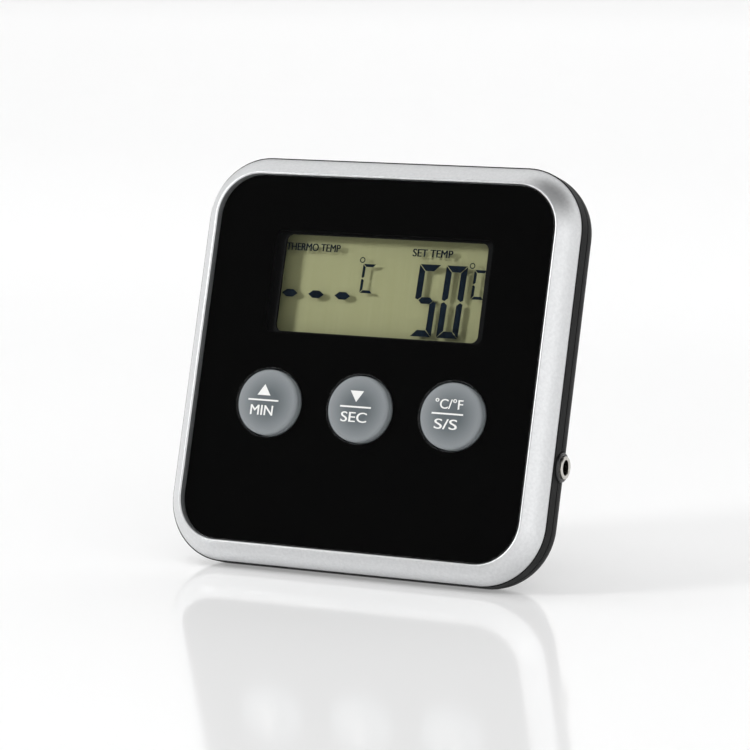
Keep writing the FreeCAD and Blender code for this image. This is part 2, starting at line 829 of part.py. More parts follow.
def screw(x, y, seat, shank_radius, length, head_radius, head_height):
    """Pan-head screw driven from the back, its head's underside at z = seat."""
    head = disc(x, y, head_radius, (seat - head_height, seat))
    rim = [e for e in head.Edges if e.BoundBox.ZMax < seat - head_height + 0.01]
    head = head.makeFillet(head_height * 0.4, rim)
    shank = disc(x, y, shank_radius, (seat - 0.1, seat + length))
    deep = head_height * 0.5
    arm = head_radius * 0.6
    slots = [
        block((x - arm, x + arm), (y - 0.2, y + 0.2), (seat - head_height - 1, seat - head_height + deep)),
        block((x - 0.2, x + 0.2), (y - arm, y + arm), (seat - head_height - 1, seat - head_height + deep)),
    ]
    return cut(join([head, shank]), slots)


def case_screws():
    return Part.Compound([
        screw(x, y, -screw_head_depth, screw_shank, screw_length, screw_head_radius, screw_head)
        for x, y in screw_points
    ])


def board_screw_set():
    length = board_thickness + plate_back - board_front - 0.5
    return Part.Compound([
        screw(x, y, board_back, board_screw_radius, length, board_screw_head_radius, board_screw_head)
        for x, y in board_screws
    ])


def all_pieces():
    pieces = {
        "face_lens": face_lens(),
        "lens_mask": lens_mask(),
        "lens_tape": lens_tape(),
        "bezel": bezel(),
        "front_housing": front_housing(),
        "rear_cover": rear_cover(),
        "lcd_frame": lcd_frame(),
        "lcd_front_glass": lcd_front_glass(),
        "lcd_rear_glass": lcd_rear_glass(),
        "lcd_reflector": lcd_reflector(),
        "zebra_strip": zebra_strip(),
        "main_board": main_board(),
        "driver_chip": driver_chip(),
        "clock_crystal": clock_crystal(),
        "board_parts": board_parts(),
        "keypad_mat": keypad_mat(),
        "jack_body": jack_body(),
        "jack_bushing": jack_bushing(),
        "jack_collar": jack_collar(),
        "jack_contacts": jack_contacts(),
        "buzzer_plate": buzzer_plate(),
        "buzzer_crystal": buzzer_crystal(),
        "buzzer_leads": buzzer_leads(),
        "battery": battery(),
        "battery_plate": battery_plate(),
        "battery_spring": battery_spring(),
        "battery_lead": battery_lead(),
        "battery_door": battery_door(),
        "stand": stand(),
        "magnets": magnets(),
        "switch_case": switch_case(),
        "switch_knob": switch_knob(),
        "case_screws": case_screws(),
        "board_screws": board_screw_set(),
    }
    for name, x in zip(button_names, button_xs):
        pieces["button_" + name] = button(x)
        pieces["pill_" + name] = contact_pill(x)
    return pieces


def place(pieces):
    """Lean the unit back, stand it on z = 0 and centre its depth on y = 0."""
    placed = {}
    for name, shape in pieces.items():
        placed[name] = shape.rotated(V(0, 0, 0), X_AXIS, 90 - lean).translated(V(0, 0, case_height))
    box = Part.Compound(list(placed.values())).optimalBoundingBox(False, False)
    shift = V(0, -(box.YMin + box.YMax) / 2, 0)
    return {name: shape.translated(shift) for name, shape in placed.items()}, shift.y


pieces, depth_shift = place(all_pieces())
os.makedirs("parts", exist_ok=True)
for name, shape in pieces.items():
    shape.exportStep("parts/" + name + ".step")
print("nodes", len(pieces), "stand opens", round(stand_open, 3), "degrees")
print("case centre height", round(case_height, 4), "depth shift", round(depth_shift, 4))
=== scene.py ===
import json
from math import cos, pi, radians, sin

import bmesh
import bpy
from mathutils import Matrix, Vector


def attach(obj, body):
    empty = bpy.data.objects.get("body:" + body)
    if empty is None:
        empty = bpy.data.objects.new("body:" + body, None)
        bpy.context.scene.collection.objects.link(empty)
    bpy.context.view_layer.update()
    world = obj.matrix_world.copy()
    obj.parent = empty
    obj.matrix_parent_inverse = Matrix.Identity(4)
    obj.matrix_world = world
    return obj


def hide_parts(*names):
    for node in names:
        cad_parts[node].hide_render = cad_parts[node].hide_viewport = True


# Looks of a digital probe thermometer for barbecue and oven: its display unit, leaning on its
# stand. Pieces are drawn on the face in millimetres: x across, y up the face, z out of the face,
# and z = 0 on the front of the lens. FACE carries them into the model's frame, in metres.

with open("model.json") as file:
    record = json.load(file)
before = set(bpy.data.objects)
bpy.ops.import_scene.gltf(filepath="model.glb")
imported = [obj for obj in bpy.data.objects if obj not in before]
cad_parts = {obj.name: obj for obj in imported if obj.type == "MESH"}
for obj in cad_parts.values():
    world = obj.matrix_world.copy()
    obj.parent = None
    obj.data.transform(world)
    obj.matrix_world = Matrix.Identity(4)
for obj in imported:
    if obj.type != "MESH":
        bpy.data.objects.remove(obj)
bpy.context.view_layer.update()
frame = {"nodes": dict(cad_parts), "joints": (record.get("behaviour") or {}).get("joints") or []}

MM = 0.001

# ---- camera and light ----
CAMERA_PLACE = (251.70, -505.78, 113.01)    # mm, in the model's frame
CAMERA_TILT = 81.88                         # degrees from straight down
CAMERA_TURN = 26.76                         # degrees to the left of +Y
CAMERA_LENS = 161.2
CAMERA_SENSOR = 36.0
CAMERA_NEAR = 0.01                          # metres
CAMERA_FAR = 20

CLEAR_LAYERS = 24                           # clear surfaces that light may cross
TENT_LIGHT = 1.05
# black flags in the white tent: direction, inner and outer angle in degrees, light left inside
FLAGS = (
    ((-0.44, -0.78, 0.45), 22.0, 42.0, 0.05),
    ((0.35, 0.03, 0.94), 14.0, 40.0, 0.1),
)
# softboxes: name, place and size in metres, power in watts
SOFTBOXES = (
    ("key softbox", (-0.845, -0.806, 0.572), (0.26, 0.26), 6.0),
    ("right softbox", (0.95, -0.45, 0.25), (0.6, 0.5), 0.5),
)
LIGHT_AIM = (0, 0, 0.035)                   # metres, the middle of the case

# ---- floor and backdrop, mm ----
FLOOR_REACH = 4000.0                        # half the floor's width
BACKDROP_BEHIND = 1600.0
BACKDROP_BEND = 400.0
BACKDROP_HEIGHT = 1200.0
BEND_STEPS = 24
FLOOR_GLOW = 0.37
FLOOR_MIRROR = 0.26                         # share of the gloss coat
FLOOR_ROUGHNESS = 0.1

# ---- face, mm ----
LENS_EDGE = 0.18                            # polished rounding of the lens
LENS_EDGE_STEPS = 3
LENS_BACK_CLEAR = 0.02                      # lens back to the print behind it
KEY_CROWN = 5.61                            # radius of a key
KEY_EDGE = 0.55                             # rounding of the crown's edge
KEY_EDGE_STEPS = 6
KEY_SHOULDER = -3.2                         # front of the key's flange
KEY_FLANGE = 0.8                            # thickness of the flange
KEY_STEM = 3.2                              # radius of the stem behind it
KEY_STEPS = 96
KEY_PAINTED_GLOW_REACH = 5.7                        # where the rim's painted glow is full
INK_THICKNESS = 0.04
LEGEND_HEIGHT = 1.7                         # capital height of the words on the keys
LEGEND_WEIGHT = 0.07                        # extra weight of their strokes
LEGEND_LINE = (5.75, 0.28)                  # length and thickness of the line on a key
LEGEND_LINE_UP = 0.28                       # line's centre above the key's centre
TRIANGLE = (2.5, 1.9)                       # width and height of the arrow on a key
TRIANGLE_UP = 2.05
WORD_DOWN = -1.45
WORD_SHIFT = -0.1
SIGN_UP = 1.95
SIGN_SHIFT = 0.1
SIGN_WIDTH = 5.1
# keys: tag, arrow or sign above the line, word below it, the word's width, shift of the print
KEYS = (
    ("min", "up", "MIN", 4.3, -0.7),
    ("sec", "down", "SEC", 4.85, -0.37),
    ("start", "°C/°F", "S/S", 4.2, -0.55),
)

# ---- display, mm ----
DIGIT_SIZE = (3.95, 12.3)                   # width and height of the large digits
DIGIT_STROKE = 1.12
DIGIT_FOOT = 5.75                           # height of their feet on the face
UNIT_SIZE = (2.45, 5.0)                     # size of the letter after the digits
UNIT_STROKE = 0.5
UNIT_FOOT = 12.55
SEGMENT_GAP = 0.09
SEGMENT_INK = 0.02
SEGMENT_NOTCH = 0.2                         # mitre at the middle, outside, in strokes
SEGMENT_MITRE = 0.45                        # the same inside
DIGIT_SLANT = 0.03                          # shift to the right per millimetre of height
DASH_SIZE = (3.0, 1.3)
DASH_TIP = 0.42                             # flat part of a dash
DASH_FIRST = -17.91
DASH_STEP = 5.04
DASH_UP = 11.87
DEGREE_RADII = (0.5, 0.34)
DEGREE_UP = 18.2
DEGREE_STEPS = 32
CAPTION_HEIGHT = 1.3
CAPTION_WEIGHT = 0.09
CAPTION_UP = 19.93
CAPTION_SINK = 0.01                         # how far the captions' ink lies below the figures'

# ---- shading and mesh ----
FLAT_AREA = 3.0                             # square mm: larger faces are shaded flat
SMOOTH_ANGLE = 35.0                         # degrees: sharper edges stay sharp
PRINT_ANGLE = 30.0                          # the same on printed words
SHARP_EDGE = 40.0                           # degrees: sharper edges are rounded
FLAT_EDGE = 0.5                             # degrees: flatter edges are removed

# sides of a seven-segment figure: a top, b and c right, d bottom, e and f left, g middle
DIGITS = {"5": "afgcd", "0": "abcdef", "C": "afed"}

joints = {joint["name"]: joint for joint in frame["joints"]}


def extent(points):
    """Lowest and highest corners of a set of points."""
    low = Vector([min(p[i] for p in points) for i in range(3)])
    high = Vector([max(p[i] for p in points) for i in range(3)])
    return low, high


def face_frame():
    """Matrix from the face's own millimetres to the model's metres."""
    out = -Vector(joints["button_sec_press"]["axis"])
    up = Vector(joints["mode_switch"]["axis"])
    right = up.cross(out)
    turn = Matrix((right, up, out)).transposed()
    lens = frame["nodes"]["face_lens"].data.vertices
    low, high = extent([turn.transposed() @ v.co for v in lens])
    centre = turn @ Vector(((low.x + high.x) / 2, (low.y + high.y) / 2, high.z))
    return Matrix.Translation(centre) @ turn.to_4x4() @ Matrix.Scale(MM, 4)


FACE = face_frame()
TO_FACE = FACE.inverted()


def span(node):
    """Lowest and highest corners of a CAD node on the face, in millimetres."""
    return extent([TO_FACE @ v.co for v in frame["nodes"][node].data.vertices])


# ---- materials ----
def linear(hex_colour):
    """Linear colour from an sRGB hex value."""
    channels = [int(hex_colour[i:i + 2], 16) / 255 for i in (1, 3, 5)]
    return tuple(c / 12.92 if c <= 0.04045 else ((c + 0.055) / 1.055) ** 2.4
                 for c in channels) + (1.0,)


def add(tree, kind, links=None, stops=(), **settings):
    """One shader node: settings are its properties or input values, links feed its inputs.

    stops are the positions and colours of a colour ramp.
    """
    node = tree.nodes.new(kind)
    for name, value in settings.items():
        if hasattr(node, name):
            setattr(node, name, value)
        else:
            node.inputs[name.replace("_", " ")].default_value = value
    for name, source in (links or {}).items():
        tree.links.new(source, node.inputs[name])
    for index, (position, colour) in enumerate(stops):
        ramp = node.color_ramp.elements
        if index == len(ramp):
            ramp.new(1.0)
        ramp[index].position = position
        ramp[index].color = linear(colour)
    return node


def new_material(name):
    material = bpy.data.materials.new(name)
    material.use_nodes = True
    material.node_tree.nodes.clear()
    return material, material.node_tree


def finish_material(tree, shader):
    add(tree, "ShaderNodeOutputMaterial", {"Surface": shader})


def surface(name, base, roughness, metallic=0.0, ior=1.5, grain=0.25, bump=0.02, spread=0.06,
            mottle=2.0, *, second, **extra):
    """Solid finish with a fine grain in its relief and roughness and a slow drift in its tone.

    grain and mottle are the sizes of the fine and slow patterns in millimetres, bump is the
    relief's depth, spread is how far the roughness wanders, and second is the tone's far end.
    """
    material, tree = new_material(name)
    place = add(tree, "ShaderNodeTexCoord").outputs["Object"]
    fine = add(tree, "ShaderNodeTexNoise", {"Vector": place}, Scale=1 / (grain * MM), Detail=3.0)
    slow = add(tree, "ShaderNodeTexNoise", {"Vector": place}, Scale=1 / (mottle * MM), Detail=2.0)
    tone = add(tree, "ShaderNodeValToRGB", {"Fac": slow.outputs["Fac"]},
               stops=((0.3, base), (0.7, second)))
    rough = add(tree, "ShaderNodeMapRange", {"Value": fine.outputs["Fac"]},
                From_Min=0.3, From_Max=0.7,
                To_Min=max(roughness - spread, 0.02), To_Max=roughness + spread)
    relief = add(tree, "ShaderNodeBump", {"Height": fine.outputs["Fac"]},
                 Distance=bump * MM, Strength=1.0)
    links = {"Base Color": tone.outputs["Color"], "Roughness": rough.outputs["Result"],
             "Normal": relief.outputs["Normal"]}
    shader = add(tree, "ShaderNodeBsdfPrincipled", links, Metallic=metallic, **extra)
    if metallic < 0.5:
        shader.inputs["IOR"].default_value = ior
    finish_material(tree, shader.outputs["BSDF"])
    return material


def silver_painted_abs():
    """Silver metallic lacquer sprayed on ABS: satin, with a fine sparkle from its flakes.

    The flakes are drawn several times their real size, or they wouldn't show.
    """
    return surface("silver lacquer on ABS", "#d3d4d5", 0.38, metallic=0.85, grain=0.16, bump=0.006,
                   spread=0.07, second="#dcddde", mottle=0.5)


def black_moulded_abs():
    """Black ABS from a finely etched mould: satin, so edges catch a soft grey light."""
    return surface("black moulded ABS", "#0b0b0c", 0.45, grain=0.12, bump=0.003, second="#0e0e0f",
                   Specular_IOR_Level=0.06)


def black_nylon():
    """Black nylon from a polished mould: a little glossier than the case."""
    return surface("black nylon", "#0e0e0f", 0.3, ior=1.53, grain=0.2, bump=0.003,
                   second="#121213")


def printed_black_film():
    """Black ink on the back of the lens: it takes nearly all the light that comes through."""
    return surface("black printed film", "#040404", 0.5, grain=0.2, bump=0.001, second="#050505",
                   Specular_IOR_Level=0.0)


def clear(name, tint, roughness, gloss, ior):
    """Clear sheet: light goes straight through, and its outer faces mirror a little of the room.

    Its inner faces mirror nothing, because the light isn't bent on its way through.
    """
    material, tree = new_material(name)
    through = add(tree, "ShaderNodeBsdfTransparent", Color=linear(tint))
    mirror = add(tree, "ShaderNodeBsdfGlossy", Color=linear("#ffffff"), Roughness=roughness)
    edge = add(tree, "ShaderNodeFresnel", IOR=ior)
    share = add(tree, "ShaderNodeMath", {0: edge.outputs["Fac"]}, operation="MULTIPLY")
    share.inputs[1].default_value = gloss
    inner = add(tree, "ShaderNodeNewGeometry").outputs["Backfacing"]
    outer = add(tree, "ShaderNodeMath", {1: inner}, operation="SUBTRACT")
    outer.inputs[0].default_value = 1.0
    kept = add(tree, "ShaderNodeMath", {0: share.outputs["Value"], 1: outer.outputs["Value"]},
               operation="MULTIPLY")
    both = add(tree, "ShaderNodeMixShader", {0: kept.outputs["Value"], 1: through.outputs["BSDF"],
                                             2: mirror.outputs["BSDF"]})
    finish_material(tree, both.outputs["Shader"])
    return material


def clear_acrylic():
    """Cast acrylic, polished: nearly invisible face on, with a mirror-like skin."""
    return clear("clear acrylic", "#feffff", 0.04, 1.0, 1.49)


def display_glass():
    """Thin float glass with polariser film on it: clear, and duller than bare glass."""
    return clear("display glass", "#fefefc", 0.05, 0.3, 1.5)


def reflector_film():
    """Silvered film behind a twisted-nematic display: olive grey, faintly brushed up and down."""
    material, tree = new_material("brushed reflector film")
    place = add(tree, "ShaderNodeTexCoord").outputs["Object"]
    brushed = add(tree, "ShaderNodeMapping", {"Vector": place},
                  Scale=(1 / (0.5 * MM), 1 / (30 * MM), 1 / (30 * MM)))
    streaks = add(tree, "ShaderNodeTexNoise", {"Vector": brushed.outputs["Vector"]},
                  Scale=1.0, Detail=4.0)
    tone = add(tree, "ShaderNodeValToRGB", {"Fac": streaks.outputs["Fac"]},
               stops=((0.25, "#9b9a75"), (0.75, "#a09f7c")))
    shader = add(tree, "ShaderNodeBsdfPrincipled", {"Base Color": tone.outputs["Color"]},
                 Roughness=0.5, Metallic=0.3)
    finish_material(tree, shader.outputs["BSDF"])
    return material


def display_ink():
    """Switched-on liquid crystal between crossed polarisers: blue-black."""
    return surface("dark liquid crystal", "#111a24", 0.6, grain=0.3, bump=0.0005,
                   second="#18222e", Specular_IOR_Level=0.0)


def silicone(name, centre):
    """Frosted silicone with a painted glow of light entering the skirt: lighter at the rim, darker
    in the middle.
    """
    material, tree = new_material(name)
    place = add(tree, "ShaderNodeTexCoord").outputs["Object"]
    offset = add(tree, "ShaderNodeVectorMath", {0: place}, operation="SUBTRACT")
    offset.inputs[1].default_value = centre
    distance = add(tree, "ShaderNodeVectorMath", {0: offset.outputs["Vector"]}, operation="LENGTH")
    radius = add(tree, "ShaderNodeMapRange", {"Value": distance.outputs["Value"]},
                 From_Min=0.0, From_Max=KEY_PAINTED_GLOW_REACH * MM)
    # painted light: the colour is darker in the middle and lighter towards the rim, painted in for
    # light that enters the skirt
    tone = add(tree, "ShaderNodeValToRGB", {"Fac": radius.outputs["Result"]},
               stops=((0.35, "#5c6468"), (0.98, "#8f9497")))
    grain = add(tree, "ShaderNodeTexNoise", {"Vector": place}, Scale=1 / (0.18 * MM), Detail=3.0)
    relief = add(tree, "ShaderNodeBump", {"Height": grain.outputs["Fac"]}, Distance=0.004 * MM)
    links = {"Base Color": tone.outputs["Color"], "Normal": relief.outputs["Normal"]}
    shader = add(tree, "ShaderNodeBsdfPrincipled", links, Roughness=0.5, IOR=1.41,
                 Subsurface_Weight=0.15, Subsurface_Radius=(1.0, 1.0, 1.0),
                 Subsurface_Scale=0.6 * MM)
    finish_material(tree, shader.outputs["BSDF"])
    return material


def white_ink():
    """Screen-printed white ink: opaque and matt."""
    return surface("white screen ink", "#f3f3f1", 0.5, grain=0.1, bump=0.001, second="#f7f7f5")


def nickel_plate():
    """Bright nickel on turned brass: a mirror with a faint warm tint, softened by tool marks."""
    return surface("bright nickel plate", "#c9c6c0", 0.16, metallic=1.0, grain=0.3, bump=0.002,
                   spread=0.05, second="#bdbab4")


def cell_jacket():
    """Printed shrink sleeve on the cell: glossy, a dark body and a copper-coloured shoulder."""
    material, tree = new_material("cell sleeve")
    place = add(tree, "ShaderNodeTexCoord").outputs["Object"]
    up_face = joints["mode_switch"]["axis"]
    along = add(tree, "ShaderNodeVectorMath", {0: place}, operation="DOT_PRODUCT")
    along.inputs[1].default_value = up_face
    start = (FACE @ Vector((0, span("battery")[0].y, 0))).dot(Vector(up_face))
    height = add(tree, "ShaderNodeMapRange", {"Value": along.outputs["Value"]},
                 From_Min=start, From_Max=start + 44.5 * MM)
    bands = add(tree, "ShaderNodeValToRGB", {"Fac": height.outputs["Result"]},
                stops=((0.0, "#8d8f90"), (0.03, "#17191b"), (0.72, "#a8672f"), (0.95, "#9b9c9d")))
    bands.color_ramp.interpolation = "CONSTANT"
    shader = add(tree, "ShaderNodeBsdfPrincipled", {"Base Color": bands.outputs["Color"]},
                 Roughness=0.25, IOR=1.5)
    finish_material(tree, shader.outputs["BSDF"])
    return material


def solder_mask():
    """Green solder mask on glass-epoxy board, copper tracks showing through as lighter lines."""
    material, tree = new_material("green solder mask")
    place = add(tree, "ShaderNodeTexCoord").outputs["Object"]
    tracks = add(tree, "ShaderNodeTexBrick", {"Vector": place}, Scale=1 / (3.2 * MM),
                 Mortar_Size=0.09, Color1=linear("#0f4a24"), Color2=linear("#115029"),
                 Mortar=linear("#2c7a3e"))
    shader = add(tree, "ShaderNodeBsdfPrincipled", {"Base Color": tracks.outputs["Color"]},
                 Roughness=0.3, IOR=1.5)
    finish_material(tree, shader.outputs["BSDF"])
    return material


BLACK_ABS = black_moulded_abs()
# bright tin on rolled steel: grey, with a soft mirror
STEEL = surface("tinned spring steel", "#b9b8b3", 0.3, metallic=1.0, grain=0.4, bump=0.002,
                second="#aeada8")
# rubber filled with carbon: dead matt black
CONDUCTIVE = surface("carbon-loaded rubber", "#151515", 0.7, grain=0.15, bump=0.004,
                     second="#1a1a1a")

NODE_MATERIALS = {
    "bezel": silver_painted_abs(),
    "lens_mask": printed_black_film(),
    # closed-cell foam: matt, with a soft pitted edge
    "lens_tape": surface("foam adhesive tape", "#c9c7c0", 0.8, grain=0.2, second="#d2d0c9"),
    "front_housing": BLACK_ABS,
    "rear_cover": BLACK_ABS,
    "battery_door": BLACK_ABS,
    "stand": BLACK_ABS,
    "lcd_frame": BLACK_ABS,
    "lcd_front_glass": display_glass(),
    "lcd_rear_glass": display_glass(),
    "lcd_reflector": reflector_film(),
    "zebra_strip": CONDUCTIVE,
    "main_board": solder_mask(),
    # a drop of cast resin: glossy and slightly uneven
    "driver_chip": surface("black epoxy", "#0b0b0c", 0.22, grain=0.5, bump=0.004,
                           second="#101011"),
    "clock_crystal": STEEL,
    # sintered bodies: satin, tan to near black
    "board_parts": surface("fired ceramic chips", "#6b5a45", 0.45, grain=0.2, bump=0.003,
                           second="#2a2a2b", mottle=3.0),
    # pressed sheet: soft and dull, lighter than the keys
    "keypad_mat": surface("grey silicone sheet", "#8a9092", 0.55, ior=1.41, grain=0.2, bump=0.004,
                          second="#91979a"),
    "jack_body": black_nylon(),
    "jack_collar": black_nylon(),
    "jack_bushing": nickel_plate(),
    "jack_contacts": STEEL,
    # thin rolled sheet: warm yellow with a soft mirror
    "buzzer_plate": surface("rolled brass", "#b9934f", 0.3, metallic=1.0, grain=0.3, bump=0.002,
                            second="#ad8746"),
    # silver paste fired on ceramic: pale and matt
    "buzzer_crystal": surface("silvered ceramic", "#d7d6d0", 0.4, grain=0.2, bump=0.003,
                              second="#cfcec8"),
    # extruded sleeve: satin
    "buzzer_leads": surface("black PVC insulation", "#161616", 0.4, grain=0.3, bump=0.004,
                            second="#1b1b1b"),
    "battery": cell_jacket(),
    "battery_plate": STEEL,
    "battery_spring": STEEL,
    # extruded sleeve: satin
    "battery_lead": surface("red PVC insulation", "#8e1712", 0.4, grain=0.3, bump=0.004,
                            second="#981b15"),
    # barrel plated: bright, with a fine even haze
    "magnets": surface("satin nickel on magnet", "#a9a8a5", 0.33, metallic=1.0, bump=0.003,
                       second="#b3b2af"),
    "switch_case": STEEL,
    "switch_knob": black_nylon(),
    # bright zinc: a cool, slightly hazy mirror
    "case_screws": surface("zinc-plated steel", "#a7a9a8", 0.28, metallic=1.0, grain=0.3,
                           bump=0.003, second="#9b9d9d"),
    "board_screws": surface("zinc-plated screw steel", "#a7a9a8", 0.28, metallic=1.0, grain=0.3,
                            bump=0.003, second="#9b9d9d"),
    "pill_min": CONDUCTIVE,
    "pill_sec": CONDUCTIVE,
    "pill_start": CONDUCTIVE,
}

ACRYLIC = clear_acrylic()
PRINTS = {"black_film": display_ink(), "white_ceramic": white_ink()}

for node, material in NODE_MATERIALS.items():
    slots = frame["nodes"][node].data.materials
    slots.clear()
    slots.append(material)


# ---- pieces ----
def verts_of(geometry):
    return [g for g in geometry if isinstance(g, bmesh.types.BMVert)]


def piece(name, bm, material, body, smooth=SMOOTH_ANGLE, place=FACE):
    """Object from a mesh drawn on the face, riding on a body, with its normals outwards."""
    bmesh.ops.transform(bm, matrix=place, verts=bm.verts)
    bmesh.ops.recalc_face_normals(bm, faces=bm.faces)
    mesh = bpy.data.meshes.new(name)
    bm.to_mesh(mesh)
    bm.free()
    mesh.materials.append(material)
    mesh.shade_smooth()
    mesh.set_sharp_from_angle(angle=radians(smooth))
    thing = bpy.data.objects.new(name, mesh)
    bpy.context.scene.collection.objects.link(thing)
    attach(thing, body)
    return thing


def ink_on(name, bm, body, slot, smooth=SMOOTH_ANGLE):
    """Printed piece: white on a key, dark on the display."""
    piece(name, bm, PRINTS[slot], body, smooth)


def lens_panel():
    """The lens with its sharp edges rounded, and its back lifted off the print behind it."""
    bm = bmesh.new()
    bm.from_mesh(frame["nodes"]["face_lens"].data)
    bmesh.ops.remove_doubles(bm, verts=bm.verts, dist=0.001 * MM)
    low, high = span("face_lens")
    rear = [v for v in bm.verts if (TO_FACE @ v.co).z < (low.z + high.z) / 2]
    bmesh.ops.translate(bm, vec=FACE.to_3x3() @ Vector((0, 0, LENS_BACK_CLEAR)), verts=rear)
    bmesh.ops.dissolve_limit(bm, angle_limit=radians(FLAT_EDGE), verts=bm.verts, edges=bm.edges)
    sharp = [e for e in bm.edges if e.is_manifold and e.calc_face_angle() > radians(SHARP_EDGE)]
    bmesh.ops.bevel(bm, geom=sharp, offset=LENS_EDGE * MM, offset_type="OFFSET",
                    segments=LENS_EDGE_STEPS, profile=0.5, affect="EDGES", clamp_overlap=True,
                    material=-1)
    thing = piece("lens_panel", bm, ACRYLIC, "root", place=Matrix.Identity(4))
    for face in thing.data.polygons:
        if face.area > FLAT_AREA * MM ** 2:
            face.use_smooth = False
    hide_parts("face_lens")


def raise_plate(bm, corners, low, thickness):
    """Adds a flat plate with a straight-sided outline, its back at low."""
    base = bm.faces.new([bm.verts.new((x, y, low)) for x, y in corners])
    raised = bmesh.ops.extrude_face_region(bm, geom=[base])["geom"]
    bmesh.ops.translate(bm, vec=(0, 0, thickness), verts=verts_of(raised))


def plate(corners, low, thickness):
    bm = bmesh.new()
    raise_plate(bm, corners, low, thickness)
    return bm


def lettering(name, text, centre, height, low, body, slot, width, weight):
    """A word as thin solid ink, its middle at centre on the face, with a given capital height.

    The word is laid down twice, side by side by weight, which thickens its upright strokes.
    """
    curve = bpy.data.curves.new(name, "FONT")
    curve.body = text
    curve.align_x = "CENTER"
    curve.extrude = 0.5
    curve.resolution_u = 6
    holder = bpy.data.objects.new(name + " outline", curve)
    bpy.context.scene.collection.objects.link(holder)
    mesh = bpy.data.meshes.new_from_object(holder)
    bpy.data.objects.remove(holder)
    bm = bmesh.new()
    bm.from_mesh(mesh)
    bpy.data.meshes.remove(mesh)
    bmesh.ops.remove_doubles(bm, verts=bm.verts, dist=0.0001)
    lowest, highest = extent([v.co for v in bm.verts])
    size = highest - lowest
    bmesh.ops.translate(bm, vec=-(lowest + highest) / 2, verts=bm.verts)
    bmesh.ops.scale(bm, vec=((width - weight) / size.x, height / size.y, INK_THICKNESS / size.z),
                    verts=bm.verts)
    second = bmesh.ops.duplicate(bm, geom=bm.verts[:] + bm.edges[:] + bm.faces[:])["geom"]
    bmesh.ops.translate(bm, vec=(-weight / 2, 0, 0), verts=bm.verts)
    bmesh.ops.translate(bm, vec=(weight, 0, INK_THICKNESS / 10), verts=verts_of(second))
    bmesh.ops.translate(bm, vec=(centre[0], centre[1], low + INK_THICKNESS / 2), verts=bm.verts)
    ink_on(name, bm, body, slot, PRINT_ANGLE)


def turned(profile, centre, steps):
    """Solid or ring turned from a profile of radius and depth, about an axis out of the face."""
    bm = bmesh.new()
    verts = [bm.verts.new((centre[0] + radius, centre[1], z)) for radius, z in profile]
    for start, end in zip(verts, verts[1:]):
        bm.edges.new((start, end))
    if profile[0][0] > 0:
        bm.edges.new((verts[-1], verts[0]))
    bmesh.ops.spin(bm, geom=bm.verts[:] + bm.edges[:], cent=(centre[0], centre[1], 0),
                   axis=(0, 0, 1), angle=2 * pi, steps=steps, use_merge=True)
    bmesh.ops.remove_doubles(bm, verts=bm.verts, dist=0.0005)
    return bm


# ---- keys ----
def key(tag):
    """One silicone key: a rounded crown, a flange behind the housing plate and a short stem."""
    low, high = span("button_" + tag)
    centre = ((low.x + high.x) / 2, (low.y + high.y) / 2)
    flange = (high.x - low.x) / 2
    behind = KEY_SHOULDER - KEY_FLANGE
    profile = [(0.0, high.z)]
    for step in range(KEY_EDGE_STEPS + 1):
        angle = radians(90 * step / KEY_EDGE_STEPS)
        profile.append((KEY_CROWN - KEY_EDGE + KEY_EDGE * sin(angle),
                        high.z - KEY_EDGE + KEY_EDGE * cos(angle)))
    profile += [(KEY_CROWN, KEY_SHOULDER), (flange, KEY_SHOULDER), (flange, behind),
                (KEY_STEM, behind), (KEY_STEM, low.z), (0.0, low.z)]
    middle = FACE @ Vector((centre[0], centre[1], high.z))
    thing = piece("key_" + tag, turned(profile, centre, KEY_STEPS),
                  silicone("grey silicone with painted rim glow " + tag, middle), "button_" + tag)
    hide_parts("button_" + tag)
    return centre, high.z


def key_legend(tag, centre, top, upper, word, wide):
    """White print on a key: an arrow or a sign above a line, and a word below it."""
    body = "button_" + tag
    slot = "white_ceramic"
    x, y = centre
    low = top - INK_THICKNESS / 4
    half, thick = LEGEND_LINE[0] / 2, LEGEND_LINE[1] / 2
    line = y + LEGEND_LINE_UP
    corners = [(x - half, line - thick), (x + half, line - thick),
               (x + half, line + thick), (x - half, line + thick)]
    ink_on("line_" + tag, plate(corners, low, INK_THICKNESS), body, slot)
    lettering("word_" + tag, word, (x + WORD_SHIFT, y + WORD_DOWN), LEGEND_HEIGHT, low, body, slot,
              wide, LEGEND_WEIGHT)
    if upper in ("up", "down"):
        half = TRIANGLE[0] / 2
        rise = TRIANGLE[1] / 2 if upper == "up" else -TRIANGLE[1] / 2
        foot = y + TRIANGLE_UP - rise
        corners = [(x - half, foot), (x + half, foot), (x, y + TRIANGLE_UP + rise)]
        ink_on("arrow_" + tag, plate(corners, low, INK_THICKNESS), body, slot)
    else:
        lettering("sign_" + tag, upper, (x + SIGN_SHIFT, y + SIGN_UP), LEGEND_HEIGHT, low, body,
                  slot, SIGN_WIDTH, LEGEND_WEIGHT)


# ---- display figures ----
INK_LOW = span("lcd_front_glass")[0].z - SEGMENT_INK / 2


def segment_outline(side, size, stroke):
    """Corners of one side of a seven-segment figure, mitred where it meets its neighbours."""
    wide, tall = size
    gap = SEGMENT_GAP
    half = tall / 2
    if side == "g":
        inset = stroke * 0.5 + gap
        left, right = inset + stroke * 0.5, wide - inset - stroke * 0.5
        upper, lower = half + stroke / 2, half - stroke / 2
        return [(inset, half), (left, upper), (right, upper), (wide - inset, half),
                (right, lower), (left, lower)]
    if side in "ad":
        outline = [(gap, tall), (wide - gap, tall), (wide - stroke - gap, tall - stroke),
                   (stroke + gap, tall - stroke)]
    else:
        outline = [(0.0, tall - gap), (0.0, half + gap + stroke * SEGMENT_NOTCH),
                   (stroke * SEGMENT_MITRE, half + gap),
                   (stroke, half + gap + stroke * SEGMENT_MITRE), (stroke, tall - stroke - gap)]
    if side in "bc":
        outline = [(wide - x, y) for x, y in outline]
    if side in "cde":
        outline = [(x, tall - y) for x, y in outline]
    return outline


